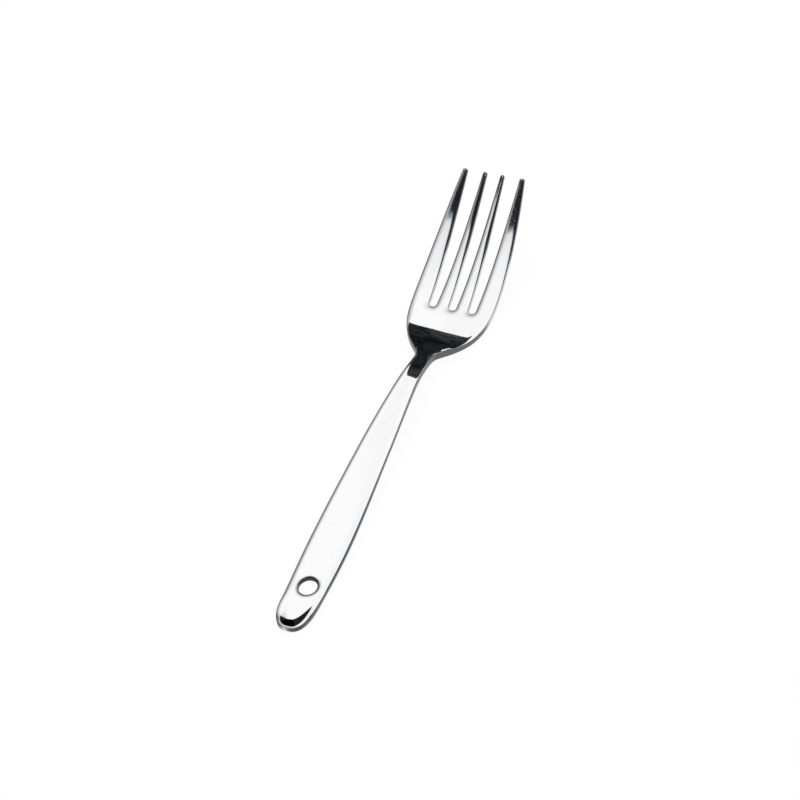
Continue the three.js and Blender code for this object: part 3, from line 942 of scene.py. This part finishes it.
def makeCard(name, card):
    bpy.ops.object.select_all(action="DESELECT")
    bpy.ops.mesh.primitive_circle_add(vertices=len(card["corners"]), fill_type="NGON")
    plane = bpy.context.object
    plane.name = name
    for vertex, (u, v) in zip(plane.data.vertices, card["corners"]):
        vertex.co = (u, v, 0)
    away, upward = -Vector(card["facing"]), Vector(card["up"]).normalized()
    turned = Matrix((upward.cross(away), upward, away)).transposed().to_4x4()
    plane.matrix_world = Matrix.Translation(card["at"]) @ turned
    for kind in ("camera", "diffuse", "shadow", "volume_scatter"):
        setattr(plane, "visible_" + kind, False)
    paint = bpy.data.materials.new(name)
    paint.use_nodes = True
    nodes, links = paint.node_tree.nodes, paint.node_tree.links
    where = nodes.new("ShaderNodeTexCoord").outputs["Object"]
    colour = None
    for direction, stops in card["shades"]:
        shade = shadeOver(nodes, links, where, direction, stops)
        if colour is not None:
            product = nodes.new("ShaderNodeVectorMath")
            product.operation = "MULTIPLY"
            links.new(colour, product.inputs[0])
            links.new(shade, product.inputs[1])
            shade = product.outputs["Vector"]
        colour = shade
    glow = nodes.new("ShaderNodeEmission")
    if "blotches" in card:
        soft = card["blotches"]
        clouds = noiseAt(nodes, links, stretchedBy(nodes, links, where, soft["stretch"]), 1, 2)
        level = ranged(nodes, links, clouds, soft["from"], soft["to"], soft["weakest"], soft["strongest"])
        links.new(level, glow.inputs["Strength"])
    links.new(colour, glow.inputs["Color"])
    links.new(glow.outputs["Emission"], nodes["Material Output"].inputs["Surface"])
    plane.data.materials.append(paint)


makeFloor()
makeWorld()
makeLamp()
for name, card in cards.items():
    makeCard(name, card)
print("studio with", len(cards), "cards")

# the target is measured from the round end of the handle, angles are in degrees
view = {"azimuth": 27.12, "elevation": 45.329, "roll": -8.0, "distance": 0.8,
        "target": (0.001338, 0.0837, 0.008), "focalPixels": 2766.4, "imagePixels": 800, "sensor": 36.0}


def makeCamera():
    azimuth, elevation, roll = (math.radians(view[k]) for k in ("azimuth", "elevation", "roll"))
    sinA, cosA, sinE, cosE = math.sin(azimuth), math.cos(azimuth), math.sin(elevation), math.cos(elevation)
    levelRight = Vector((cosA, sinA, 0))
    levelUp = Vector((-sinA * sinE, cosA * sinE, cosE))
    back = Vector((sinA * cosE, -cosA * cosE, sinE))
    right = math.cos(roll) * levelRight + math.sin(roll) * levelUp
    up = math.cos(roll) * levelUp - math.sin(roll) * levelRight
    target = Vector(view["target"]) + Vector((0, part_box("fork")[0][1], 0))
    bpy.ops.object.camera_add()
    camera = bpy.context.object
    turned = Matrix((right, up, back)).transposed().to_4x4()
    camera.matrix_world = Matrix.Translation(target + back * view["distance"]) @ turned
    camera.data.sensor_width = view["sensor"]
    camera.data.lens = view["focalPixels"] / view["imagePixels"] * view["sensor"]
    bpy.context.scene.camera = camera
    print("camera with a lens of", round(camera.data.lens, 1), "mm")


makeCamera()
bpy.context.scene.view_settings.view_transform = "Standard"
